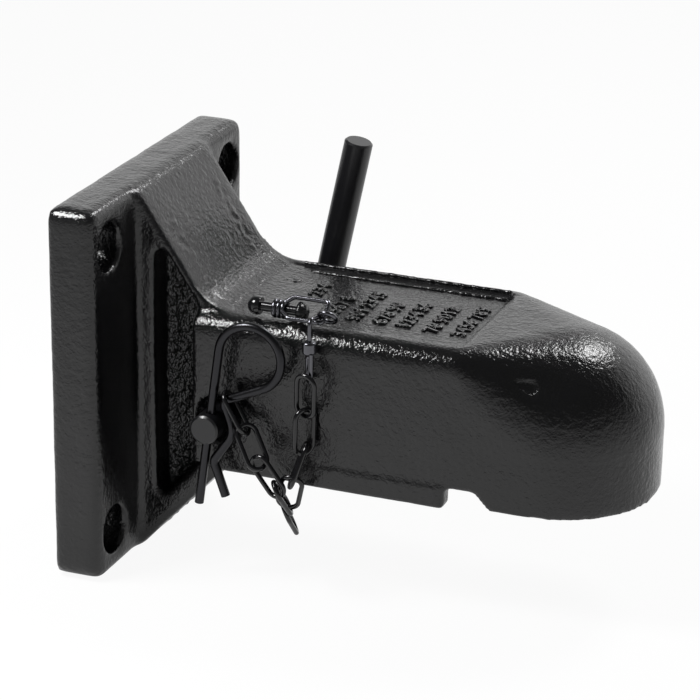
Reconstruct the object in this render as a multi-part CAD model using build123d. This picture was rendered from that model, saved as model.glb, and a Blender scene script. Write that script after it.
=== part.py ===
from build123d import *
from math import atan2, cos, degrees, hypot, radians, sin, sqrt, tan
import os

# Trailer coupler: a cast straight-tongue coupler with a four-bolt flange, for a 2-5/16 inch ball.
# Frame: X runs forward from the back of the flange to the nose, Z is up and the hairpin side is -Y.
# The origin is the middle of the flange's back face. All lengths are millimetres.

# Fits
running_gap = 0.08
sliding_gap = 0.3
fixed_gap = 0.02

# Flange and its four bolts
bolt_pitch_y = 120.65
bolt_pitch_z = 127.0
bolt_hole_d = 20.6
bolt_edge_y = 16.175
bolt_edge_z = 19.0
flange_width = bolt_pitch_y + 2 * bolt_edge_y
flange_height = bolt_pitch_z + 2 * bolt_edge_z
flange_thickness = 21.0
flange_corner_r = 6.0
flange_edge_r = 4.0

# Neck between the flange and the body
neck_half_width = 37.0
neck_slope_deg = 56.3
neck_root_r = 24.0
neck_lower_slope_deg = 47.7
neck_edge_r = 1.8
neck_crest_r = 6.0
neck_upper_rim = 3.4
neck_lower_rim = 9.5
neck_strip = 8.5
pocket_depth = 12.0
pocket_corner_r = 3.0

# Body, hood and nose
body_rear_x = 50.0
body_half_width = 44.5
body_top_z = 33.0
body_edge_r = 9.0
skirt_z = -36.0
hood_start_x = 167.0
ball_x = 198.6
ball_z = -15.0
nose_r = 43.5
rim_z = -33.7
crown_half_deg = 34.0
skirt_edge_r = 1.2

# Cast-in marks on the outside
panel_depth = 1.6
panel_half_width = 33.5
panel_rear_x = 62.0
bead_height = 10.0
bead_proud = 0.8
bead_rear_x = 99.0
notch_rear_x = 163.5
notch_top_length = 13.0
notch_slant = 6.0
notch_height = 9.4

# Ball socket and cavity, open below
ball_d = 58.74
socket_gap = 0.6
wall = 8.5
roof = 11.0
cavity_front_x = 180.0
arm_bay_rear_x = 46.0
arm_bay_half_width = 15.0
arm_bay_top_z = 4.0
cavity_corner_r = 8.0

# Lock pin: a bar bent into a handle
pin_x = 61.6
pin_z = -12.2
pin_d = 12.7
pin_near_y = -body_half_width - 13.9
handle_y = body_half_width + 22.0
handle_length = 95.5
handle_rest_deg = 11.7
handle_bend_r = 17.0
bar_chamfer = 0.8
pin_core_d = 20.0
pin_core_depth = 3.5
pin_boss_r = 12.0
pin_boss_reach = 7.0

# Cam arm, its two pins and the fork that they drive
crank_r = 12.0
crank_half_swing_deg = 30.0
arm_thickness = 8.0
arm_hub_r = 11.0
arm_tip_r = 5.6
crank_pin_d = 6.35
crank_pin_length = 24.0
roll_pin_d = 4.0
fork_half_width = 11.0
fork_finger = 4.0

# Keeper that slides under the ball, and the ledges that carry it
ledge_rear_x = 97.0
ledge_front_x = 152.0
ledge_reach = 9.0
ledge_top_z = -29.0
guide_front_x = 146.0
guide_thickness = 5.0
keeper_shoe_height = 9.2
shoe_rear_x = 118.0
shoe_front_x = 158.0
head_rear_x = 140.0
head_front_x = 178.0
head_half_width = 26.0
head_top_z = -1.0
keeper_corner_r = 4.0

# Return spring on its rod
rod_d = 8.0
rod_z = -9.0
rod_rear_x = 88.0
rod_socket_depth = 12.0
web_rear_x = 96.0
web_thickness = 8.0
web_floor_z = -16.5
spring_wire_d = 2.0
spring_coil_r = 6.6
spring_turns = 6.0
washer_d = 16.0
washer_thickness = 1.6
cotter_d = 2.0

# Hairpin: a straight leg through the pin, a loop and a waved leg outside it
hairpin_y = -body_half_width - 7.9
hairpin_wire_d = 3.9
hairpin_hole_d = 4.3
leg_tilt_deg = 7.6
leg_tip_drop = 35.8
loop_r = 14.0
loop_rise = 33.0
loop_return_deg = 24.0
throat_reach = 17.6
wave_crest = (3.1, -1.8)
wave_valley = (6.7685, 20.4)
wave_tip = (12.3, 5.0)

# Safety chain, from the stud on the top edge to the hairpin's throat
stud_y = -body_half_width + 8.5
stud_z = body_top_z + 5.3
stud_head_x = 76.5
stud_head_r = 4.0
stud_shank_d = 4.2
stud_boss_x = 93.0
stud_boss_length = 6.0
stud_boss_r = 4.4
bow_wire_d = 2.0
bow_coil_x = 85.0
bow_coil_turns = 3
bow_front_x = 108.0
bow_top = (stud_y + 2.0, stud_z + 5.3)
bow_foot = (stud_y - 6.0, stud_z - 1.3)
swivel_y = -body_half_width - 4.2
hook_wire_d = 1.9
hook_eye_r = 3.6
hook_rise = 3.0
hook_neck_z = body_top_z + 7.2
shank_x = 105.2
barrel_z = body_top_z - 4.8
barrel_r = 3.1
barrel_height = 5.6
eye_wire_d = 1.9
eye_width = 7.6
eye_foot_width = 7.0
eye_foot_z = body_top_z - 20.0
eye_yaw_deg = -52
chain_wire_d = 2.1
chain_link_length = 21.6
chain_link_width = 10.8

# Where each link meets the next, from the swivel eye round to the clip link: X, the distance out from the
# body's near side, and Z. The rolls turn each link about its length, from facing the near side
chain_meetings = [
    (105.2, 7.9, 15.2), (103.9, 5.3, -0.4), (103.7, 6.0, -17.4), (101.2, 11.5, -28.5),
    (96.0, 5.0, -43.7), (94.8, 12.8, -34.3), (86.1, 12.6, -23.2), (79.1, 9.7, -11.2),
]
chain_rolls_deg = [12, -51, 69, -15, -60, -15, 50]
spare_link_start = (94.2, 3.3, -47.0)
spare_link_end = (93.7, -8.7, -59.7)
spare_link_roll_deg = 53
clip_link_roll_deg = 85
clip_hold = 2.7


def box_between(x0, x1, y0, y1, z0, z1):
    """A box given by its two corners."""
    centre = ((x0 + x1) / 2, (y0 + y1) / 2, (z0 + z1) / 2)
    return Pos(*centre) * Box(abs(x1 - x0), abs(y1 - y0), abs(z1 - z0))


def bar_y(x, z, diameter, y0, y1):
    """A round bar or hole along Y."""
    return Pos(x, (y0 + y1) / 2, z) * Rot(90, 0, 0) * Cylinder(diameter / 2, abs(y1 - y0))


def bar_x(y, z, diameter, x0, x1):
    """A round bar or hole along X."""
    return Pos((x0 + x1) / 2, y, z) * Rot(0, 90, 0) * Cylinder(diameter / 2, abs(x1 - x0))


def side_slab(outline, half_width):
    """A slab with an outline in XZ, as thick as the full width, centred on Y = 0."""
    return extrude(Plane.XZ * outline, half_width, both=True)


def wire_along(path, diameter):
    """Round wire along a path that starts straight."""
    return sweep(Plane(path @ 0, z_dir=path % 0) * Circle(diameter / 2), path=path)


# Where the straight slopes of the neck meet the body, and the places that follow from it
flange_top = flange_height / 2
slope_foot_x = flange_thickness + (flange_top - body_top_z) / tan(radians(neck_slope_deg))
lower_foot_x = flange_thickness + (flange_top + skirt_z) / tan(radians(neck_lower_slope_deg))
cavity_half_width = body_half_width - wall
cavity_top_z = body_top_z - roof
dome_z = body_top_z - nose_r
socket_r = ball_d / 2 + socket_gap


def flange():
    """The bolting plate with its rounded corners and edges."""
    plate = box_between(0, flange_thickness, -flange_width / 2, flange_width / 2, -flange_top, flange_top)
    plate = fillet(plate.edges().filter_by(Axis.X), flange_corner_r)
    return fillet(plate.faces().sort_by(Axis.X)[-1].edges(), flange_edge_r)


def neck():
    """The two slopes from the flange to the body, with a pocket in each side between them."""
    root_x = flange_thickness / 2
    end_x = slope_foot_x + neck_root_r
    outline = make_face(Polyline(
        (root_x, flange_top), (flange_thickness, flange_top), (slope_foot_x, body_top_z),
        (end_x, body_top_z), (end_x, skirt_z), (lower_foot_x, skirt_z),
        (flange_thickness, -flange_top + 0.5), (root_x, -flange_top + 2), close=True,
    ))
    outline = fillet(outline.vertices().sort_by_distance((flange_thickness, flange_top, 0))[0], neck_crest_r)
    outline = fillet(outline.vertices().sort_by_distance((slope_foot_x, body_top_z, 0))[0], neck_root_r)
    block = side_slab(outline, neck_half_width)
    strip_x = flange_thickness + neck_strip
    upper_drop = neck_upper_rim / cos(radians(neck_slope_deg))
    lower_rise = neck_lower_rim / cos(radians(neck_lower_slope_deg))

    def upper(x):
        return flange_top - upper_drop - (x - flange_thickness) * tan(radians(neck_slope_deg))

    def lower(x):
        return -flange_top + lower_rise + (x - flange_thickness) * tan(radians(neck_lower_slope_deg))

    front_x = body_rear_x + 4
    window = make_face(Polyline(
        (strip_x, upper(strip_x)), (front_x, upper(front_x)), (front_x, lower(front_x)),
        (strip_x, lower(strip_x)), close=True,
    ))
    window = fillet(window.vertices(), pocket_corner_r)
    cut = extrude(Plane.XZ * window, pocket_depth + neck_edge_r)
    near = Pos(0, -neck_half_width + pocket_depth, 0) * cut
    return block - near - mirror(near, Plane.XZ)


def shoulder_section(x, half_width, bottom_z, round_r, round_deg, round_z):
    """A section across the body at x: sides, rounded shoulders of round_deg each, and the top between."""
    inner_y = half_width - round_r
    turn = radians(round_deg)
    crown = (inner_y + round_r * cos(turn), round_z + round_r * sin(turn))
    middle = (inner_y + round_r * cos(turn / 2), round_z + round_r * sin(turn / 2))
    sides = [
        Line((-half_width, bottom_z), (half_width, bottom_z)),
        Line((half_width, bottom_z), (half_width, round_z)),
        ThreePointArc((half_width, round_z), middle, crown),
        ThreePointArc((-crown[0], crown[1]), (-middle[0], middle[1]), (-half_width, round_z)),
        Line((-half_width, round_z), (-half_width, bottom_z)),
    ]
    if round_deg < 89:
        sides.append(ThreePointArc(crown, (0, round_z + round_r), (-crown[0], crown[1])))
    else:
        sides.append(Line(crown, (-crown[0], crown[1])))
    return Plane.YZ.offset(x) * make_face(sides)


def body():
    """The channel-shaped body, the hood that opens out to the dome, and the round nose."""
    shoulder_z = body_top_z - body_edge_r
    rear = shoulder_section(body_rear_x, body_half_width, rim_z, body_edge_r, 90, shoulder_z)
    prism = extrude(rear, hood_start_x - body_rear_x)
    hood_rear = shoulder_section(hood_start_x, body_half_width, rim_z, body_edge_r, 90, shoulder_z)
    hood_front = shoulder_section(ball_x, nose_r, rim_z, nose_r, 90 - crown_half_deg, dome_z)
    hood = loft([hood_rear, hood_front], ruled=True)
    dome = make_face([
        Line((0, rim_z), (nose_r, rim_z)),
        Line((nose_r, rim_z), (nose_r, dome_z)),
        ThreePointArc((nose_r, dome_z), (nose_r * cos(radians(45)), dome_z + nose_r * sin(radians(45))), (0, body_top_z)),
        Line((0, body_top_z), (0, rim_z)),
    ])
    nose = revolve(Plane.XZ * dome, Axis.Z, 360)
    nose = Pos(ball_x, 0, 0) * (nose & box_between(0, nose_r + 1, -nose_r - 1, nose_r + 1, rim_z - 1, body_top_z + 1))
    skirt = box_between(
        lower_foot_x - 6, notch_rear_x + 1, -body_half_width, body_half_width, skirt_z, rim_z + 1
    )
    return prism + hood + nose + skirt


def side_bead(sign):
    """The low raised band along the foot of one side."""
    band = box_between(
        bead_rear_x, notch_rear_x, sign * (body_half_width - 2), sign * (body_half_width + bead_proud),
        skirt_z, skirt_z + bead_height,
    )
    long_edges = band.edges().filter_by(Axis.X).group_by(Axis.Z)[-1]
    outer = long_edges.sort_by(Axis.Y)[-1 if sign > 0 else 0]
    return chamfer(outer, bead_proud * 0.95)


def notch():
    """The cut through both skirts in front of the ledges, with a slanted front."""
    top_z = skirt_z + notch_height
    front_x = notch_rear_x + notch_top_length
    outline = make_face(Polyline(
        (notch_rear_x, skirt_z - 5), (notch_rear_x, top_z - 1.4), (notch_rear_x + 1.4, top_z),
        (front_x, top_z), (front_x + notch_slant, rim_z), (front_x + notch_slant, skirt_z - 5), close=True,
    ))
    return side_slab(outline, body_half_width + 5)


def cavity():
    """The hollow that holds the lock and the ball, open all along the bottom."""
    channel = box_between(
        body_rear_x + wall, cavity_front_x, -cavity_half_width, cavity_half_width, -flange_top, cavity_top_z
    )
    channel = fillet(channel.faces().sort_by(Axis.Z)[-1].edges(), cavity_corner_r)
    channel += box_between(
        arm_bay_rear_x, body_rear_x + wall + 1, -arm_bay_half_width, arm_bay_half_width,
        -flange_top, arm_bay_top_z,
    )
    socket = Pos(ball_x, 0, ball_z) * Sphere(socket_r)
    mouth = Pos(ball_x, 0, (ball_z + skirt_z - 5) / 2) * Cylinder(socket_r, ball_z - skirt_z + 5)
    lead_in = Pos(ball_x, 0, rim_z + 1) * Cone(socket_r + 2.5, socket_r, 2.5)
    return channel + socket + mouth + lead_in


def inner_features(sign):
    """The ledge, the guide rib and the pin boss on the inside of one wall."""
    wall_y = sign * (cavity_half_width + 1)
    reach_y = sign * (cavity_half_width - ledge_reach)
    ledge = box_between(ledge_rear_x, ledge_front_x, wall_y, reach_y, skirt_z, ledge_top_z)
    guide_z = ledge_top_z + keeper_shoe_height + 2 * sliding_gap
    guide = box_between(ledge_rear_x, guide_front_x, wall_y, reach_y, guide_z, guide_z + guide_thickness)
    boss = bar_y(pin_x, pin_z, 2 * pin_boss_r, wall_y, sign * (cavity_half_width - pin_boss_reach))
    return ledge + guide + boss


def coupler_casting():
    """The one-piece casting: flange, neck, body, nose and everything cast into them."""
    solid = flange() + neck() + body() + side_bead(-1) + side_bead(1)
    solid -= cavity()
    web = box_between(
        web_rear_x, web_rear_x + web_thickness, -cavity_half_width - 1, cavity_half_width + 1,
        web_floor_z, cavity_top_z + 1,
    )
    stud_boss = bar_x(stud_y, stud_z, 2 * stud_boss_r, stud_boss_x, stud_boss_x + stud_boss_length)
    stud_foot = box_between(
        stud_boss_x, stud_boss_x + stud_boss_length, stud_y - stud_boss_r * 0.8, stud_y + stud_boss_r,
        body_top_z - body_edge_r, stud_z,
    )
    solid += [inner_features(-1), inner_features(1), web, stud_boss, stud_foot]
    solid -= notch()
    solid -= box_between(
        panel_rear_x, hood_start_x, -panel_half_width, panel_half_width, body_top_z - panel_depth, body_top_z + 9
    ) - box_between(0, stud_boss_x + stud_boss_length + 2, -flange_width, stud_y + stud_boss_r + 1, 0, flange_top)
    for y in (-bolt_pitch_y / 2, bolt_pitch_y / 2):
        for z in (-bolt_pitch_z / 2, bolt_pitch_z / 2):
            solid -= bar_x(y, z, bolt_hole_d, -1, flange_thickness + 1)
    solid -= bar_y(pin_x, pin_z, pin_d + 2 * running_gap, -flange_width, flange_width)
    for sign in (-1, 1):
        solid -= bar_y(
            pin_x, pin_z, pin_core_d, sign * (body_half_width - pin_core_depth), sign * (body_half_width + 5)
        )
    solid -= bar_x(0, rod_z, rod_d + 2 * sliding_gap, web_rear_x - 1, web_rear_x + web_thickness + 1)
    solid -= bar_x(
        stud_y, stud_z, stud_shank_d + 2 * fixed_gap, stud_boss_x - 1, stud_boss_x + stud_boss_length - 1
    )
    return solid


def lock_pin():
    """Round bar across the coupler, bent up into the handle on the far side."""
    tilt = radians(handle_rest_deg)
    path = FilletPolyline(
        (pin_x, pin_near_y, pin_z), (pin_x, handle_y, pin_z),
        (pin_x + handle_length * sin(tilt), handle_y, pin_z + handle_length * cos(tilt)),
        radius=handle_bend_r,
    )
    bar = wire_along(path, pin_d)
    ends = bar.edges().filter_by(GeomType.CIRCLE)
    ends = [e for e in ends if abs(e.radius - pin_d / 2) < 1e-6 and e.is_closed]
    near = sorted(ends, key=lambda e: e.center().Y)[0]
    top = sorted(ends, key=lambda e: e.center().Z)[-1]
    bar = chamfer([near, top], bar_chamfer)
    bar -= leg_drill()
    return bar - roll_pin_hole()


def leg_drill():
    """The cross hole near the end of the bar that takes the hairpin's straight leg."""
    turn = Rot(0, leg_tilt_deg, 0)
    return Pos(pin_x, hairpin_y, pin_z) * turn * Cylinder(hairpin_hole_d / 2, pin_d * 2)


def roll_pin_hole():
    """The hole through the hub and the bar for the roll pin."""
    return bar_x(0, pin_z, roll_pin_d + 2 * fixed_gap, pin_x - arm_hub_r - 2, pin_x + arm_hub_r + 2)


crank_x = pin_x + crank_r * sin(radians(crank_half_swing_deg))
crank_z = pin_z - crank_r * cos(radians(crank_half_swing_deg))
keeper_travel = 2 * crank_r * sin(radians(crank_half_swing_deg))


def cam_arm():
    """Hub and short arm on the lock pin, drawn as two discs joined by their common tangents."""
    hub = Circle(arm_hub_r)
    length = crank_r
    lean = (arm_hub_r - arm_tip_r) / length
    side = sqrt(1 - lean * lean)
    web = make_face(Polyline(
        (arm_hub_r * side, -arm_hub_r * lean), (arm_tip_r * side, -length - arm_tip_r * lean),
        (-arm_tip_r * side, -length - arm_tip_r * lean), (-arm_hub_r * side, -arm_hub_r * lean), close=True,
    ))
    tip = Pos(0, -length) * Circle(arm_tip_r)
    outline = hub + web + tip
    arm = extrude(Plane.XZ * outline, arm_thickness / 2, both=True)
    arm = Pos(pin_x, 0, pin_z) * Rot(0, -crank_half_swing_deg, 0) * arm
    arm -= bar_y(pin_x, pin_z, pin_d + 2 * fixed_gap, -arm_thickness, arm_thickness)
    arm -= bar_y(crank_x, crank_z, crank_pin_d + 2 * fixed_gap, -arm_thickness, arm_thickness)
    return arm - roll_pin_hole()


def cam_roll_pin():
    """Split spring pin that keys the arm to the lock pin."""
    pin = bar_x(0, pin_z, roll_pin_d, pin_x - arm_hub_r, pin_x + arm_hub_r)
    bore = bar_x(0, pin_z, roll_pin_d * 0.55, pin_x - arm_hub_r - 1, pin_x + arm_hub_r + 1)
    slit = box_between(pin_x - arm_hub_r - 1, pin_x + arm_hub_r + 1, -0.35, 0.35, pin_z, pin_z + roll_pin_d)
    return pin - bore - slit


def crank_pin():
    """Dowel through the tip of the arm that works in both fork slots."""
    pin = bar_y(crank_x, crank_z, crank_pin_d, -crank_pin_length / 2, crank_pin_length / 2)
    return chamfer(pin.edges().filter_by(GeomType.CIRCLE), 0.5)


keeper_floor_z = ledge_top_z + sliding_gap
keeper_shoe_top_z = keeper_floor_z + keeper_shoe_height
slot_half = crank_pin_d / 2 + sliding_gap


def ball_keeper():
    """Sliding keeper: head hollowed to the ball, shoe on the ledges, tail with a fork for the crank pin."""
    head = box_between(
        head_rear_x, head_front_x, -head_half_width, head_half_width, keeper_floor_z, head_top_z
    )
    head = fillet(head.edges().filter_by(Axis.Z), keeper_corner_r)
    shoe_half_width = cavity_half_width - sliding_gap
    shoe = box_between(
        shoe_rear_x, shoe_front_x, -shoe_half_width, shoe_half_width, keeper_floor_z, keeper_shoe_top_z
    )
    shoe = fillet(shoe.edges().filter_by(Axis.Z), keeper_corner_r)
    fork_rear_x = crank_x - slot_half - fork_finger
    tail = box_between(
        fork_rear_x, shoe_rear_x + keeper_corner_r, -fork_half_width, fork_half_width,
        keeper_floor_z, keeper_shoe_top_z,
    )
    keeper = head + shoe + tail
    keeper -= Pos(ball_x, 0, ball_z) * Sphere(ball_d / 2 + socket_gap / 2)
    arm_reach = pin_x + arm_hub_r + keeper_travel + sliding_gap
    arm_slot_half = arm_thickness / 2 + sliding_gap
    keeper -= box_between(fork_rear_x - 1, arm_reach, -arm_slot_half, arm_slot_half, skirt_z, 0)
    slot_floor_z = pin_z - crank_r - crank_pin_d / 2 - sliding_gap
    keeper -= box_between(
        crank_x - slot_half, crank_x + slot_half, -fork_half_width - 1, fork_half_width + 1, slot_floor_z, 0
    )
    return keeper - bar_x(0, rod_z, rod_d + 2 * fixed_gap, head_rear_x - 1, head_rear_x + rod_socket_depth)


def spring_rod():
    """Rod pressed into the keeper's head that runs back through the cross web."""
    rod = bar_x(0, rod_z, rod_d, rod_rear_x, head_rear_x + rod_socket_depth)
    rod = chamfer(rod.edges().filter_by(GeomType.CIRCLE), 0.6)
    return rod - cotter_hole(2 * fixed_gap)


washer_front_x = web_rear_x - sliding_gap
cotter_x = washer_front_x - washer_thickness - cotter_d / 2 - 0.2


def cotter_hole(extra):
    """Upright cylinder where the cotter crosses the rod."""
    return Pos(cotter_x, 0, rod_z) * Cylinder((cotter_d + extra) / 2, rod_d * 2)


def rod_washer():
    """Washer behind the web that stops the keeper's forward travel."""
    disc = bar_x(0, rod_z, washer_d, washer_front_x - washer_thickness, washer_front_x)
    return disc - bar_x(0, rod_z, rod_d + 2 * running_gap, washer_front_x - 5, washer_front_x + 5)


def rod_cotter():
    """Cotter pin through the rod: an eye above and two parted ends below."""
    eye_r = cotter_d * 0.8
    eye_z = rod_z + rod_d / 2 + eye_r + cotter_d / 2 + 0.3
    shank = Pos(cotter_x, 0, (eye_z + rod_z - rod_d / 2 - 1.5) / 2) * Cylinder(
        cotter_d / 2, eye_z - rod_z + rod_d / 2 + 1.5
    )
    eye = Pos(cotter_x, 0, eye_z + eye_r) * Rot(0, 90, 0) * Torus(eye_r + 0.5, cotter_d / 3)
    pin = shank + eye
    for sign in (-1, 1):
        foot = Pos(cotter_x, 0, rod_z - rod_d / 2 - 1.5) * Rot(sign * 50, 0, 0)
        pin += foot * Pos(0, 0, -1.5) * Cylinder(cotter_d * 0.42, 4)
    return pin


def keeper_spring():
    """Compression spring between the web and the keeper's head, with closed ends cut flat."""
    start_x = web_rear_x + web_thickness
    length = head_rear_x - start_x
    inner = spring_wire_d / 2 + 0.05
    coil = Helix((length - 2 * inner) / spring_turns, length - 2 * inner, spring_coil_r)
    spring = sweep(
        Plane(coil @ 0, z_dir=coil % 0) * Circle(spring_wire_d / 2), path=coil, is_frenet=True
    )
    return Pos(start_x + inner, 0, rod_z) * Rot(0, 90, 0) * spring


def leg_x(z):
    """Where the hairpin's straight leg is at a height."""
    return pin_x + (z - pin_z) * tan(radians(leg_tilt_deg))


def hairpin_outline():
    """The bend of the hairpin in XZ: leg, loop, throat and waved leg."""
    tilt = radians(leg_tilt_deg)
    back = radians(loop_return_deg)
    centre = Vector(leg_x(pin_z + loop_rise) + loop_r / cos(tilt), pin_z + loop_rise)
    start = centre + Vector(-cos(tilt), sin(tilt)) * loop_r
    finish = centre + Vector(sin(back), -cos(back)) * loop_r
    sweep_deg = 180 - leg_tilt_deg - (loop_return_deg - 90)
    over = radians(180 - leg_tilt_deg - sweep_deg / 2)
    top = centre + Vector(cos(over), sin(over)) * loop_r
    throat = (finish.X - throat_reach, finish.Y - throat_reach * tan(back))
    wave_x = pin_x + pin_d / 2 + hairpin_wire_d / 2
    tip_z = pin_z - leg_tip_drop
    tip_x = leg_x(tip_z)
    lower = FilletPolyline(
        (finish.X, finish.Y), throat, (wave_x + wave_crest[0], pin_z + wave_crest[1]),
        (tip_x + wave_valley[0], tip_z + wave_valley[1]), (tip_x + wave_tip[0], tip_z + wave_tip[1]),
        radius=[3.0, 9.0, 3.5],
    )
    return Line((tip_x, tip_z), (start.X, start.Y)), ThreePointArc(start, top, finish), lower, throat


def hairpin():
    """Spring wire: a straight leg through the bar, a round loop and a waved leg that grips its outside."""
    leg, loop, lower, throat = hairpin_outline()
    place = Plane((0, hairpin_y, 0), x_dir=(1, 0, 0), z_dir=(0, -1, 0))
    return wire_along(place * Wire([leg, loop, *lower.edges()]), hairpin_wire_d)


def chain_stud():
    """Round-headed drive stud along the top edge, driven into its cast boss."""
    shank_r = stud_shank_d / 2
    face_x = stud_head_r * 0.45
    face_r = sqrt(stud_head_r ** 2 - face_x ** 2)
    tip_x = stud_boss_x + stud_boss_length - 1 - stud_head_x
    half = make_face([
        ThreePointArc((-stud_head_r, 0), (0, stud_head_r), (face_x, face_r)),
        Line((face_x, face_r), (face_x, shank_r)),
        Line((face_x, shank_r), (tip_x, shank_r)),
        Line((tip_x, shank_r), (tip_x, 0)),
        Line((tip_x, 0), (-stud_head_r, 0)),
    ])
    return Pos(stud_head_x, stud_y, stud_z) * revolve(half, Axis.X, 360)


def swivel_bow():
    """Wire bow: turns wound round the stud's shank, and a rectangular loop in front of them."""
    coil_r = stud_shank_d / 2 + running_gap + bow_wire_d / 2
    bow = None
    for turn in range(bow_coil_turns):
        ring = Pos(bow_coil_x + turn * bow_wire_d * 0.98, stud_y, stud_z) * Rot(0, 90, 0) * Torus(
            coil_r, bow_wire_d / 2
        )
        bow = ring if bow is None else bow + ring
    coil_end_x = bow_coil_x + (bow_coil_turns - 1) * bow_wire_d
    path = FilletPolyline(
        (coil_end_x, stud_y, stud_z + coil_r), (coil_end_x + 3.5, bow_top[0], bow_top[1]),
        (bow_front_x, bow_top[0], bow_top[1]), (bow_front_x, bow_foot[0], bow_foot[1]),
        (coil_end_x + 3.5, bow_foot[0], bow_foot[1]), (coil_end_x, stud_y - coil_r, stud_z),
        radius=1.5,
    )
    return bow + wire_along(path, bow_wire_d)


bow_front_slope = atan2(bow_top[1] - bow_foot[1], bow_top[0] - bow_foot[0])
hook_slack = hook_eye_r - hook_wire_d / 2 - bow_wire_d / 2 - 0.1
hook_centre = Vector(
    bow_front_x + hook_slack, bow_foot[0] + hook_rise * cos(bow_front_slope),
    bow_foot[1] + hook_rise * sin(bow_front_slope),
)


def swivel_hook():
    """Upper half of the swivel: an eye round the front of the bow and a shank riveted inside the barrel."""
    eye = Rot(degrees(bow_front_slope) - 90, 0, 0) * Torus(hook_eye_r, hook_wire_d / 2)
    eye = Pos(*hook_centre) * eye
    shank_foot_z = barrel_z - barrel_height / 2 - 0.8
    path = FilletPolyline(
        (hook_centre.X - hook_eye_r, hook_centre.Y, hook_centre.Z), (shank_x, swivel_y, hook_neck_z),
        (shank_x, swivel_y, shank_foot_z), radius=2.2,
    )
    rivet = Pos(shank_x, swivel_y, shank_foot_z - 0.4) * Cylinder(hook_wire_d * 0.75, 0.8)
    return eye + wire_along(path, hook_wire_d) + rivet


def swivel_eye():
    """Lower half of the swivel: a turned barrel with a tapered wire eye under it."""
    barrel = Cylinder(barrel_r, barrel_height)
    barrel = fillet(barrel.edges().filter_by(GeomType.CIRCLE), 1.2)
    top = 0.8 - barrel_height / 2
    foot = eye_foot_z - barrel_z
    half = (eye_width - eye_wire_d) / 2
    foot_half = (eye_foot_width - eye_wire_d) / 2
    path = FilletPolyline(
        (-half, 0, top), (-foot_half, 0, foot), (foot_half, 0, foot), (half, 0, top), radius=foot_half * 0.9
    )
    eye = barrel + wire_along(path, eye_wire_d)
    eye -= Cylinder(hook_wire_d / 2 + running_gap, barrel_height * 2)
    eye -= Pos(0, 0, -barrel_height / 2) * Cylinder(hook_wire_d * 0.75 + running_gap, 3.4)
    return Pos(shank_x, swivel_y, barrel_z) * Rot(0, 0, eye_yaw_deg) * eye


def chain_link():
    """One straight link about the origin: long axis X, flat in XY."""
    bow_r = (chain_link_width - chain_wire_d) / 2
    half_run = (chain_link_length - chain_link_width) / 2
    half_ring = Torus(bow_r, chain_wire_d / 2, major_angle=180, align=None)
    link = Pos(half_run, 0, 0) * Rot(0, 0, -90) * half_ring
    link += Pos(-half_run, 0, 0) * Rot(0, 0, 90) * half_ring
    for side in (-bow_r, bow_r):
        link += Pos(0, side, 0) * Rot(0, 90, 0) * Cylinder(chain_wire_d / 2, 2 * half_run)
    return link


def beside_body(meeting):
    """The point of a meeting that is given by its distance out from the near side."""
    x, out, z = meeting
    return Vector(x, -body_half_width - out, z)


def laid_link(start, end, roll_deg):
    """A link with its middle halfway between two meetings, rolled about its length."""
    along = (end - start).normalized()
    outward = Vector(0, -1, 0)
    facing = (outward - along * outward.dot(along)).normalized()
    plane = Plane((start + end) * 0.5, x_dir=along, z_dir=facing)
    return plane * Rot(roll_deg, 0, 0) * chain_link()


def clip_link():
    """The last link, threaded on the hairpin where its loop closes."""
    throat = hairpin_outline()[3]
    back = radians(loop_return_deg)
    held = Vector(throat[0] + clip_hold * cos(back), hairpin_y, throat[1] + clip_hold * sin(back))
    last = beside_body(chain_meetings[-1])
    along = (last - held).normalized()
    return laid_link(held - along * (hairpin_wire_d / 2 + 0.15), last, clip_link_roll_deg)


def chain_parts():
    """The links in order, and the spare one that hangs free."""
    links = {}
    pairs = zip(chain_meetings, chain_meetings[1:], chain_rolls_deg)
    for number, (start, end, roll_deg) in enumerate(pairs, start=1):
        links[f"chain_link_{number}"] = laid_link(beside_body(start), beside_body(end), roll_deg)
    links["chain_link_spare"] = laid_link(
        beside_body(spare_link_start), beside_body(spare_link_end), spare_link_roll_deg
    )
    links["clip_link"] = clip_link()
    return links


def main_parts():
    """Every piece by the name of its node."""
    return {
        "coupler_casting": coupler_casting(),
        "lock_pin": lock_pin(),
        "cam_arm": cam_arm(),
        "cam_roll_pin": cam_roll_pin(),
        "crank_pin": crank_pin(),
        "ball_keeper": ball_keeper(),
        "spring_rod": spring_rod(),
        "rod_washer": rod_washer(),
        "rod_cotter": rod_cotter(),
        "keeper_spring": keeper_spring(),
        "hairpin": hairpin(),
        "chain_stud": chain_stud(),
        "swivel_bow": swivel_bow(),
        "swivel_hook": swivel_hook(),
        "swivel_eye": swivel_eye(),
        **chain_parts(),
    }


os.makedirs("parts", exist_ok=True)
for name, shape in main_parts().items():
    export_step(shape, f"parts/{name}.step")
    print(name, len(shape.solids()), round(shape.volume / 1000, 3))
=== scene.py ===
from math import cos, exp, hypot, radians, sin

import bmesh
import bpy
from mathutils import Matrix, Vector, noise


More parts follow.
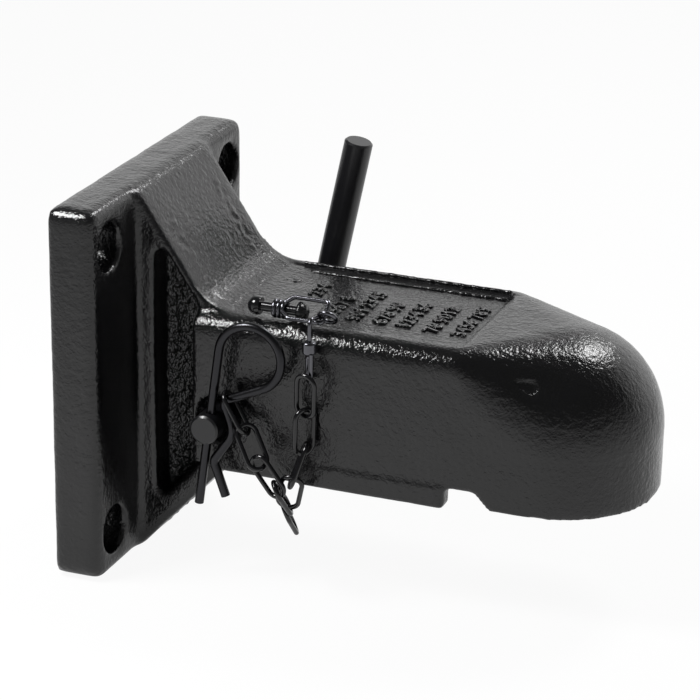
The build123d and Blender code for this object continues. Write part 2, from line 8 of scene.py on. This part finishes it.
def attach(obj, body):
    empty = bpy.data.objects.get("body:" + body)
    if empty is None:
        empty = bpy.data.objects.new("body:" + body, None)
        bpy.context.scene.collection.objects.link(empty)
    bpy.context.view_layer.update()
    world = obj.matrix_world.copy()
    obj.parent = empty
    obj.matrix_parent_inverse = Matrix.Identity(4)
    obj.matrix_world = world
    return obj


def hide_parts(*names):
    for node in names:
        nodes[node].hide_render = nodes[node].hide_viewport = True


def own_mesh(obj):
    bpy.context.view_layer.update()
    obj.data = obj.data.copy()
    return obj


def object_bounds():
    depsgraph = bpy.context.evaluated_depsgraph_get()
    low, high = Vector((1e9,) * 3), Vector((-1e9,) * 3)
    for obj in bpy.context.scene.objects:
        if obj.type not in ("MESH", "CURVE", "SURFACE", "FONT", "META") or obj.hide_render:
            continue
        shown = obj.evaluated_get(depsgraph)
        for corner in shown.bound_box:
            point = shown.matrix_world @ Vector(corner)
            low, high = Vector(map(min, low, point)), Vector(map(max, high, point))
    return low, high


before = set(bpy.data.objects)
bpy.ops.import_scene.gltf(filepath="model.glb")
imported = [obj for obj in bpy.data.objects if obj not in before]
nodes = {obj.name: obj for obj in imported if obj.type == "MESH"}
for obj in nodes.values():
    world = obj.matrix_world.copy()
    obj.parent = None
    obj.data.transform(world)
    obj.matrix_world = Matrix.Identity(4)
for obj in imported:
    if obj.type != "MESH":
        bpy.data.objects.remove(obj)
cad_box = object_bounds()

# Camera: a long lens a little above the coupler, in front of its nose and to the hairpin side.
# Its place, turn and focal length were fitted to edges and hole centres of the photograph.
azimuth, elevation, roll = radians(21.40), radians(21.134), radians(0.753)
camera_place = (0.5317, -1.0913, 0.4628)
focal_px, picture_px, sensor_mm = 2943.6, 700, 36

back = Vector((sin(azimuth) * cos(elevation), -cos(azimuth) * cos(elevation), sin(elevation)))
right = Vector((cos(azimuth), sin(azimuth), 0))
above = back.cross(right)
camera_x = right * cos(roll) + above * sin(roll)
camera_y = above * cos(roll) - right * sin(roll)
turn = Matrix((camera_x, camera_y, back)).transposed().to_4x4()
lens = bpy.data.cameras.new("lens")
lens.sensor_width = sensor_mm
lens.lens = focal_px / picture_px * sensor_mm
lens.clip_start = 0.01
camera = bpy.data.objects.new("camera", lens)
camera.matrix_world = Matrix.Translation(camera_place) @ turn
bpy.context.scene.collection.objects.link(camera)
bpy.context.scene.camera = camera
bpy.context.scene.view_settings.view_transform = "Standard"


# Studio: a white backdrop stands behind the coupler and fades overhead, most above the flange. The room in
# front is dark above a pale horizon. One soft box lights the dome from behind and another the near edge.
# The table is white paper, and clear when it is seen from below.
def linear(hex_colour):
    """An sRGB colour such as 1a1b1d as linear red, green, blue and full alpha."""
    parts = [int(hex_colour[i:i + 2], 16) / 255 for i in (0, 2, 4)]
    return [c / 12.92 if c <= 0.04045 else ((c + 0.055) / 1.055) ** 2.4 for c in parts] + [1.0]


def add(tree, kind, settings=None, **links):
    """A node of one kind, with its settings, and its inputs set to values or linked to sockets."""
    node = tree.nodes.new(kind)
    for name, value in (settings or {}).items():
        setattr(node, name, value)
    for name, value in links.items():
        key = int(name[1:]) if name[0] == "_" and name[1:].isdigit() else name.replace("_", " ")
        socket = node.inputs[key]
        if isinstance(value, bpy.types.NodeSocket):
            tree.links.new(value, socket)
        else:
            socket.default_value = value
    return node


def maths(tree, operation, *values):
    """The result of a sum on values or sockets."""
    inputs = {f"_{place}": value for place, value in enumerate(values)}
    return add(tree, "ShaderNodeMath", {"operation": operation}, **inputs).outputs[0]


def shading(name):
    """An empty material and its node tree."""
    made = bpy.data.materials.new(name)
    made.use_nodes = True
    made.node_tree.nodes.clear()
    return made, made.node_tree


studio = bpy.data.worlds.new("studio")
studio.use_nodes = True
tree = studio.node_tree
tree.nodes.clear()
bpy.context.scene.world = studio
paper_white = linear("ffffff")
backdrop_white, backdrop_rise = 1.16, 0.15
overhead_fade, overhead_rise = -0.35, 1.0
horizon_glow, dark_room = 0.7, 0.12
toward = add(tree, "ShaderNodeSeparateXYZ", Vector=add(tree, "ShaderNodeTexCoord").outputs["Generated"])
sweep = maths(tree, "MULTIPLY_ADD", toward.outputs["X"], backdrop_rise, backdrop_white)
overhead = add(tree, "ShaderNodeMapRange", Value=toward.outputs["Z"], From_Min=0.4, From_Max=0.6)
fading = maths(tree, "MULTIPLY_ADD", toward.outputs["X"], overhead_rise, overhead_fade)
backdrop = maths(tree, "MULTIPLY_ADD", overhead.outputs[0], fading, sweep)
behind = add(tree, "ShaderNodeMapRange", Value=toward.outputs["Y"], From_Min=0.25, From_Max=0.75,
             To_Min=dark_room, To_Max=backdrop)
horizon = add(tree, "ShaderNodeMapRange", Value=toward.outputs["Z"], From_Min=-0.05, From_Max=0.35,
              To_Min=horizon_glow, To_Max=dark_room)
around = maths(tree, "MAXIMUM", behind.outputs[0], horizon.outputs[0])
sight = add(tree, "ShaderNodeLightPath")
studio_light = maths(tree, "MAXIMUM", around, sight.outputs["Is Camera Ray"])
glow = add(tree, "ShaderNodeBackground", Color=paper_white, Strength=studio_light)
add(tree, "ShaderNodeOutputWorld", Surface=glow.outputs[0])


def soft_box(name, aim, direction, distance, size, power):
    """A square area lamp that faces the point aim from a direction."""
    lamp = bpy.data.lights.new(name, "AREA")
    lamp.size = size
    lamp.energy = power
    holder = bpy.data.objects.new(name, lamp)
    direction = Vector(direction).normalized()
    holder.matrix_world = Matrix.Translation(Vector(aim) + direction * distance) @ (
        direction.to_track_quat("Z", "Y").to_matrix().to_4x4())
    holder.visible_camera = False
    bpy.context.scene.collection.objects.link(holder)


soft_box("back_box", aim=(0.2, 0, 0.02), direction=(0.17, 0.59, 0.79), distance=1.1, size=0.34, power=6.4)
soft_box("edge_box", aim=(0.08, 0, 0.02), direction=(-0.50, -0.45, 0.75), distance=0.4, size=0.133, power=1.9)

table_gap, table_half = 0.0005, 4
table_white_seen, table_white_mirrored = 0.93, 0.45
paper, tree = shading("white_paper")
paper_grain = add(tree, "ShaderNodeBsdfDiffuse", Color=linear("f4f4f4"))
paper_glow = add(tree, "ShaderNodeEmission", Color=paper_white, Strength=1.0)
sight = add(tree, "ShaderNodeLightPath")
looked_at = maths(tree, "MULTIPLY", sight.outputs["Is Camera Ray"], table_white_seen)
mirrored = maths(tree, "MULTIPLY", sight.outputs["Is Glossy Ray"], table_white_mirrored)
paper_mix = add(tree, "ShaderNodeMixShader", _0=maths(tree, "MAXIMUM", looked_at, mirrored),
                _1=paper_grain.outputs[0], _2=paper_glow.outputs[0])
seen_below = add(tree, "ShaderNodeMixShader", _0=add(tree, "ShaderNodeNewGeometry").outputs["Backfacing"],
                 _1=paper_mix.outputs[0], _2=add(tree, "ShaderNodeBsdfTransparent").outputs[0])
add(tree, "ShaderNodeOutputMaterial", Surface=seen_below.outputs[0])
table_z = cad_box[0][2] - table_gap
corners = [(x * table_half, y * table_half, table_z) for x, y in ((-1, -1), (1, -1), (1, 1), (-1, 1))]
sheet = bpy.data.meshes.new("table")
sheet.from_pydata(corners, [], [(0, 1, 2, 3)])
sheet.materials.append(paper)
table = bpy.data.objects.new("table", sheet)
bpy.context.scene.collection.objects.link(table)


def grained(tree, layers):
    """Bumps over one another: each layer is (grain in mm, strength or a socket for it, height in mm)."""
    place = add(tree, "ShaderNodeTexCoord").outputs["Object"]
    normal = None
    for grain, strength, height in layers:
        pattern = add(tree, "ShaderNodeTexNoise", Vector=place, Scale=1000 / grain, Detail=2.0,
                      Roughness=0.55)
        bump = add(tree, "ShaderNodeBump", Strength=strength, Distance=height / 1000,
                   Height=pattern.outputs["Fac"])
        if normal is not None:
            tree.links.new(normal, bump.inputs["Normal"])
        normal = bump.outputs["Normal"]
    return normal


def size_test(tree, value, operation, limit):
    """One where a value's size is below or above a limit, and nought elsewhere."""
    return maths(tree, operation, maths(tree, "ABSOLUTE", value), limit)


pocket_half_width, pocket_front_x, side_facing = 0.0275, 0.058, 0.6
enamel, tree = shading("gloss_black_enamel_on_sand_casting")
place = add(tree, "ShaderNodeSeparateXYZ", Vector=add(tree, "ShaderNodeTexCoord").outputs["Object"])
facing = add(tree, "ShaderNodeSeparateXYZ", Vector=add(tree, "ShaderNodeNewGeometry").outputs["Normal"])
sunk = maths(tree, "MULTIPLY", size_test(tree, place.outputs["Y"], "LESS_THAN", pocket_half_width),
             size_test(tree, place.outputs["X"], "LESS_THAN", pocket_front_x))
pocket_floor = maths(tree, "MULTIPLY", sunk,
                     size_test(tree, facing.outputs["Y"], "GREATER_THAN", side_facing))
enamel_normal = grained(tree, [(2.2, pocket_floor, 1.3), (2.2, 1.0, 0.36), (0.95, 1.0, 0.17)])
enamel_shader = add(tree, "ShaderNodeBsdfPrincipled", Base_Color=linear("0b0b0c"), Roughness=0.17,
                    IOR=1.5, Normal=enamel_normal)
add(tree, "ShaderNodeOutputMaterial", Surface=enamel_shader.outputs[0])


def weld(source, name):
    """A CAD node's mesh as a new object with its loose triangles joined up."""
    mesh = source.data.copy()
    mesh.name = name
    work = bmesh.new()
    work.from_mesh(mesh)
    bmesh.ops.remove_doubles(work, verts=work.verts, dist=1e-6)
    work.to_mesh(mesh)
    work.free()
    piece = bpy.data.objects.new(name, mesh)
    bpy.context.scene.collection.objects.link(piece)
    return piece


def seen_mesh(piece):
    """An object's mesh as it is seen, with its modifiers or its curve worked out."""
    return bpy.data.meshes.new_from_object(piece.evaluated_get(bpy.context.evaluated_depsgraph_get()))


def bake(piece):
    """Makes a piece's modifiers part of its mesh."""
    mesh = seen_mesh(piece)
    piece.modifiers.clear()
    piece.data = mesh


# The foundry rounded the hood up fuller than a plain dome: its skin stands out by about 3 mm where it turns
# over, and its shoulders run straight from the body's corners to the dome.
dome_centre = Vector((0.1986, 0, -0.0105))
dome_r = 0.0435
dome_skin = 0.002
hood_start_x = 0.167
hood_fullness = 0.0034
crown_z = 0.0225
crown_flattening, crown_sharpness = 0.6, 10
channel_half_width, channel_front_x = 0.0365, 0.181
cheek_y = 0.0375
crown_lap, cheek_lap = 0.0005, 0.001


def add_hull(work, chosen):
    """Adds the convex hull of a mesh's chosen vertices to the mesh."""
    lump = bmesh.new()
    for vertex in work.verts:
        if chosen(vertex.co):
            lump.verts.new(vertex.co)
    hull = bmesh.ops.convex_hull(lump, input=lump.verts)
    left_over = {part for part in hull["geom_interior"] + hull["geom_unused"]
                 if isinstance(part, bmesh.types.BMVert)}
    bmesh.ops.delete(lump, geom=list(left_over), context="VERTS")
    lump_mesh = bpy.data.meshes.new("lump")
    lump.to_mesh(lump_mesh)
    lump.free()
    work.from_mesh(lump_mesh)
    bpy.data.meshes.remove(lump_mesh)


def on_cheek(place, side):
    """Whether a place is on one side of the hood, above the dome's centre."""
    beside = place.x > hood_start_x and place.y * side > cheek_y
    return beside and place.z > dome_centre.z - cheek_lap


casting = weld(nodes["coupler_casting"], "cast_body")
work = bmesh.new()
work.from_mesh(casting.data)
for vertex in work.verts:
    x, y, z = vertex.co
    away = vertex.co - Vector((min(x, dome_centre.x), 0, dome_centre.z))
    in_channel = abs(y) < channel_half_width and z < crown_z and x < channel_front_x
    inside = in_channel or away.length < dome_r - dome_skin
    if x > hood_start_x and z > dome_centre.z and not inside:
        away.normalize()
        share = min(1, (x - hood_start_x) / (dome_centre.x - hood_start_x))
        flattened = 1 - crown_flattening * away.z ** crown_sharpness
        vertex.co += away * hood_fullness * share * away.z * flattened
for side in (-1, 1):
    add_hull(work, lambda place: on_cheek(place, side))
add_hull(work, lambda place: place.x > hood_start_x - crown_lap and place.z > crown_z)
work.to_mesh(casting.data)
work.free()
remesh = casting.modifiers.new("sand_mould", "REMESH")
remesh.mode = "VOXEL"
remesh.voxel_size = 0.0014
remesh.use_smooth_shade = True
soften = casting.modifiers.new("soft_edges", "SMOOTH")
soften.factor = 0.5
soften.iterations = 3
bake(casting)


# The mould rounded the flange and the neck's sides most, and the hood's sides run into the dome without
# a line. Elsewhere the edges are only softened.
def wear(piece, rounds, chosen):
    """Smooths a piece's surface at the chosen places."""
    group = piece.vertex_groups.new(name="worn")
    group.add([vertex.index for vertex in piece.data.vertices if chosen(vertex.co)], 1.0, "REPLACE")
    smoothing = piece.modifiers.new("worn", "SMOOTH")
    smoothing.factor = 0.5
    smoothing.iterations = rounds
    smoothing.vertex_group = "worn"
    bake(piece)
    piece.vertex_groups.clear()


def on_flange_or_neck(place):
    """Whether a place is on the flange or on the neck's sides."""
    return place.x < 0.0235 or (place.x < 0.049 and abs(place.y) > 0.018)


def on_hood_side(place):
    """Whether a place is on the hood's sides, where they turn into the dome."""
    return 0.172 < place.x < 0.212 and abs(place.y) > 0.020 and 0.008 < place.z < 0.0295


wear(casting, 12, on_flange_or_neck)
wear(casting, 45, on_hood_side)

# The skin's relief: waves of the sand, the top panel's rear end that slopes up to the rim, the pockets'
# rough floors, a slimmer boss at the stud's foot, and a few lumps on the near side.
skin_waves = ((14.0, 0.16), (5.0, 0.07), (2.8, 0.05))
pocket_waves = ((3.4, 0.9), (2.2, 0.5))
pocket_x, pocket_y = (0.030, 0.056), (0.0225, 0.0262)
ramp_rear_x, ramp_front_x, ramp_half_width = 0.0615, 0.082, 0.0325
panel_low_z, panel_z, rim_z = 0.0310, 0.0314, 0.033
boss_x, boss_y, boss_z, boss_trim = (0.0925, 0.0995), (-0.041, -0.031), 0.0345, 0.0026
near_side_y = -0.043
near_lumps = ((0.0823, -0.0011, 0.0040, 0.4), (0.1051, -0.0236, 0.0034, 0.7),
              (0.0990, -0.0310, 0.0026, 0.4))

# The lock needs room to run in the bar's bore and in the hollow, so the skin steps back there
bar_x, bar_z, bore_reach, bore_relief = 0.0616, -0.0122, 0.0078, 0.00035
hollow_rear_x, hollow_floor_z, hollow_relief = 0.045, -0.0345, 0.0008
bay_half_width, socket_reach = 0.0155, 0.038


def cut_back(place):
    """How far the surface steps back on the bar's bore and inside the body."""
    if hypot(place.x - bar_x, place.z - bar_z) < bore_reach:
        return bore_relief
    if place.x < hollow_rear_x or not hollow_floor_z < place.z < crown_z:
        return 0
    if place.x > dome_centre.x:
        return hollow_relief if (place - dome_centre).length < socket_reach else 0
    half_width = bay_half_width if place.x < bar_x else cheek_y
    return hollow_relief if abs(place.y) < half_width else 0


def waves(place, layers):
    """Height in metres of noise waves at a place: each layer is (length in mm, height in mm)."""
    return sum(noise.noise(place * (1000 / length)) * height / 1000 for length, height in layers)


def roughen(mesh, height_at):
    """Pushes a mesh's vertices out along their normals by the height at their place."""
    places = [vertex.co.copy() for vertex in mesh.vertices]
    normals = [vertex.normal.copy() for vertex in mesh.vertices]
    moved = []
    for place, normal in zip(places, normals):
        moved.extend(place + normal * height_at(place))
    mesh.vertices.foreach_set("co", moved)
    mesh.update()


def casting_height(place):
    """The height of the casting's relief at a place."""
    if cut_back(place):
        return -cut_back(place)
    height = waves(place, skin_waves)
    on_ramp = ramp_rear_x < place.x < ramp_front_x and abs(place.y) < ramp_half_width
    if on_ramp and panel_low_z < place.z < rim_z:
        share = (place.x - ramp_rear_x) / (ramp_front_x - ramp_rear_x)
        height += max(0, rim_z + (panel_z - rim_z) * share - place.z)
    if pocket_x[0] < place.x < pocket_x[1] and pocket_y[0] < abs(place.y) < pocket_y[1]:
        height += waves(place, pocket_waves)
    if boss_x[0] < place.x < boss_x[1] and boss_y[0] < place.y < boss_y[1] and place.z > boss_z:
        height -= boss_trim
    if place.y < near_side_y:
        for x, z, reach, lump in near_lumps:
            away = ((place.x - x) ** 2 + (place.z - z) ** 2) / reach ** 2
            height += lump / 1000 * exp(-away) if away < 6 else 0
    return height


def dress_mesh(mesh, material):
    """Gives a mesh one material and smooth shading."""
    mesh.materials.clear()
    mesh.materials.append(material)
    mesh.shade_smooth()


roughen(casting.data, casting_height)
dress_mesh(casting.data, enamel)
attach(casting, "housing")
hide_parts("coupler_casting")


# Cast figures on the top panel: raised marks that the foundry's pattern plate leaves, worn round by the
# sand and filled with enamel. Plain digits in order stand in their place. Each row is (digits, X, Y).
# Two thin raised lines border the panel's far side: each is (Y, Z).
figure_rows = (
    ("234", 0.0862, 0.0015), ("4567 8", 0.1014, -0.0205), ("901 2345", 0.1120, -0.0205),
    ("678 90", 0.1238, -0.0200), ("1234 56", 0.1345, -0.0205), ("78 9012", 0.1468, -0.0205),
    ("3456 789", 0.1590, -0.0205), ("1", 0.0600, 0.0225), ("0", 0.0715, 0.0125),
)
digit_size, digit_foot_x, digit_z = 0.0090, 0.0033, 0.03155
border_lines = ((0.0345, 0.0331), (0.0288, 0.0316))
line_rear_x, line_front_x, line_steps = 0.069, 0.1645, 90
figure_waves = ((2.2, 0.35), (1.1, 0.2))


def mesh_of_curve(curve):
    """A curve's mesh, without an object."""
    holder = bpy.data.objects.new("holder", curve)
    bpy.context.scene.collection.objects.link(holder)
    mesh = seen_mesh(holder)
    bpy.data.objects.remove(holder)
    return mesh


marks = bmesh.new()
for digits, row_x, row_y in figure_rows:
    row = bpy.data.curves.new("row", "FONT")
    row.body = digits
    row.size = digit_size
    row.space_character = 1.08
    row.space_word = 0.7
    row.extrude = 0.0003
    row.bevel_depth = 0.00035
    row.bevel_resolution = 2
    row.resolution_u = 4
    row_mesh = mesh_of_curve(row)
    row_place = Matrix.Translation((row_x + digit_foot_x, row_y, digit_z))
    row_mesh.transform(row_place @ Matrix.Rotation(radians(90), 4, "Z"))
    marks.from_mesh(row_mesh)
    bpy.data.meshes.remove(row_mesh)
for line_y, line_z in border_lines:
    line = bpy.data.curves.new("line", "CURVE")
    line.dimensions = "3D"
    line.bevel_depth = 0.0008
    line.bevel_resolution = 2
    line.use_fill_caps = True
    run = line.splines.new("POLY")
    run.points.add(line_steps - 1)
    for step, point in enumerate(run.points):
        share = step / (line_steps - 1)
        point.co = (line_rear_x + (line_front_x - line_rear_x) * share, line_y, line_z, 1)
    line_mesh = mesh_of_curve(line)
    marks.from_mesh(line_mesh)
    bpy.data.meshes.remove(line_mesh)
figure_mesh = bpy.data.meshes.new("cast_figures")
marks.to_mesh(figure_mesh)
marks.free()
roughen(figure_mesh, lambda place: waves(place, figure_waves))
dress_mesh(figure_mesh, enamel)
figures = bpy.data.objects.new("cast_figures", figure_mesh)
bpy.context.scene.collection.objects.link(figures)
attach(figures, "housing")


# Lock bar: cold-drawn round bar, bent hot into a handle. It is painted satin black, so its long highlight
# is soft, with the slight unevenness of paint on a forged bend.
def finish(name, colour, roughness, layers, **more):
    """A material of one colour and gloss, with its grain."""
    made, tree = shading(name)
    shader = add(tree, "ShaderNodeBsdfPrincipled", Base_Color=linear(colour), Roughness=roughness,
                 Normal=grained(tree, layers), **more)
    add(tree, "ShaderNodeOutputMaterial", Surface=shader.outputs[0])
    return made


def dress(material, *names):
    """Gives CAD nodes a material."""
    for name in names:
        nodes[name].data.materials.clear()
        nodes[name].data.materials.append(material)


dress(finish("satin_black_paint_on_bar", "121214", 0.3, [(6.0, 0.25, 0.15), (1.5, 0.2, 0.04)], IOR=1.5),
      "lock_pin")


# Hairpin: spring wire with a dark oiled finish. The bare metal mirrors the studio along the wire, so the
# loop shows a thin bright line at its top.
dress(finish("oiled_spring_wire", "343436", 0.25, [(1.2, 0.2, 0.03)], Metallic=1.0), "hairpin")


# Bow and swivel: bent and turned steel with a bright black plating. It mirrors more than paint does, so
# these small pieces stand out from the casting behind them.
dress(finish("bright_black_plating", "5c5c60", 0.2, [(1.6, 0.3, 0.05)], Metallic=1.0),
      "swivel_bow", "swivel_hook", "swivel_eye")


# Stud and chain: a turned stud and bent steel links, dipped in gloss black. The dip is thicker and
# smoother than the casting's enamel, so each link carries a sharp highlight.
dress(finish("gloss_black_chain", "0c0c0e", 0.13, [(1.6, 0.25, 0.05)], IOR=1.5),
      "chain_stud", *(f"chain_link_{link}" for link in range(1, 8)), "chain_link_spare", "clip_link")


# Lock inside the body: an iron keeper and plain steel pins, machined and oiled. They are out of sight
# unless the coupler is seen from below.
machined = finish("oiled_steel", "8a8a8a", 0.38, [(1.0, 0.2, 0.03)], Metallic=1.0)
dress(machined, "cam_arm", "cam_roll_pin", "crank_pin", "spring_rod", "rod_washer", "rod_cotter",
      "keeper_spring", "ball_keeper")


# Keeper spring: steel wire between the web and the keeper, which shortens towards the web as the keeper
# slides back. A welded copy, fixed to the housing, stands in for the solid.
coil = weld(nodes["keeper_spring"], "pressed_spring")
dress_mesh(coil.data, machined)
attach(coil, "housing")
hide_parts("keeper_spring")
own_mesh(coil)
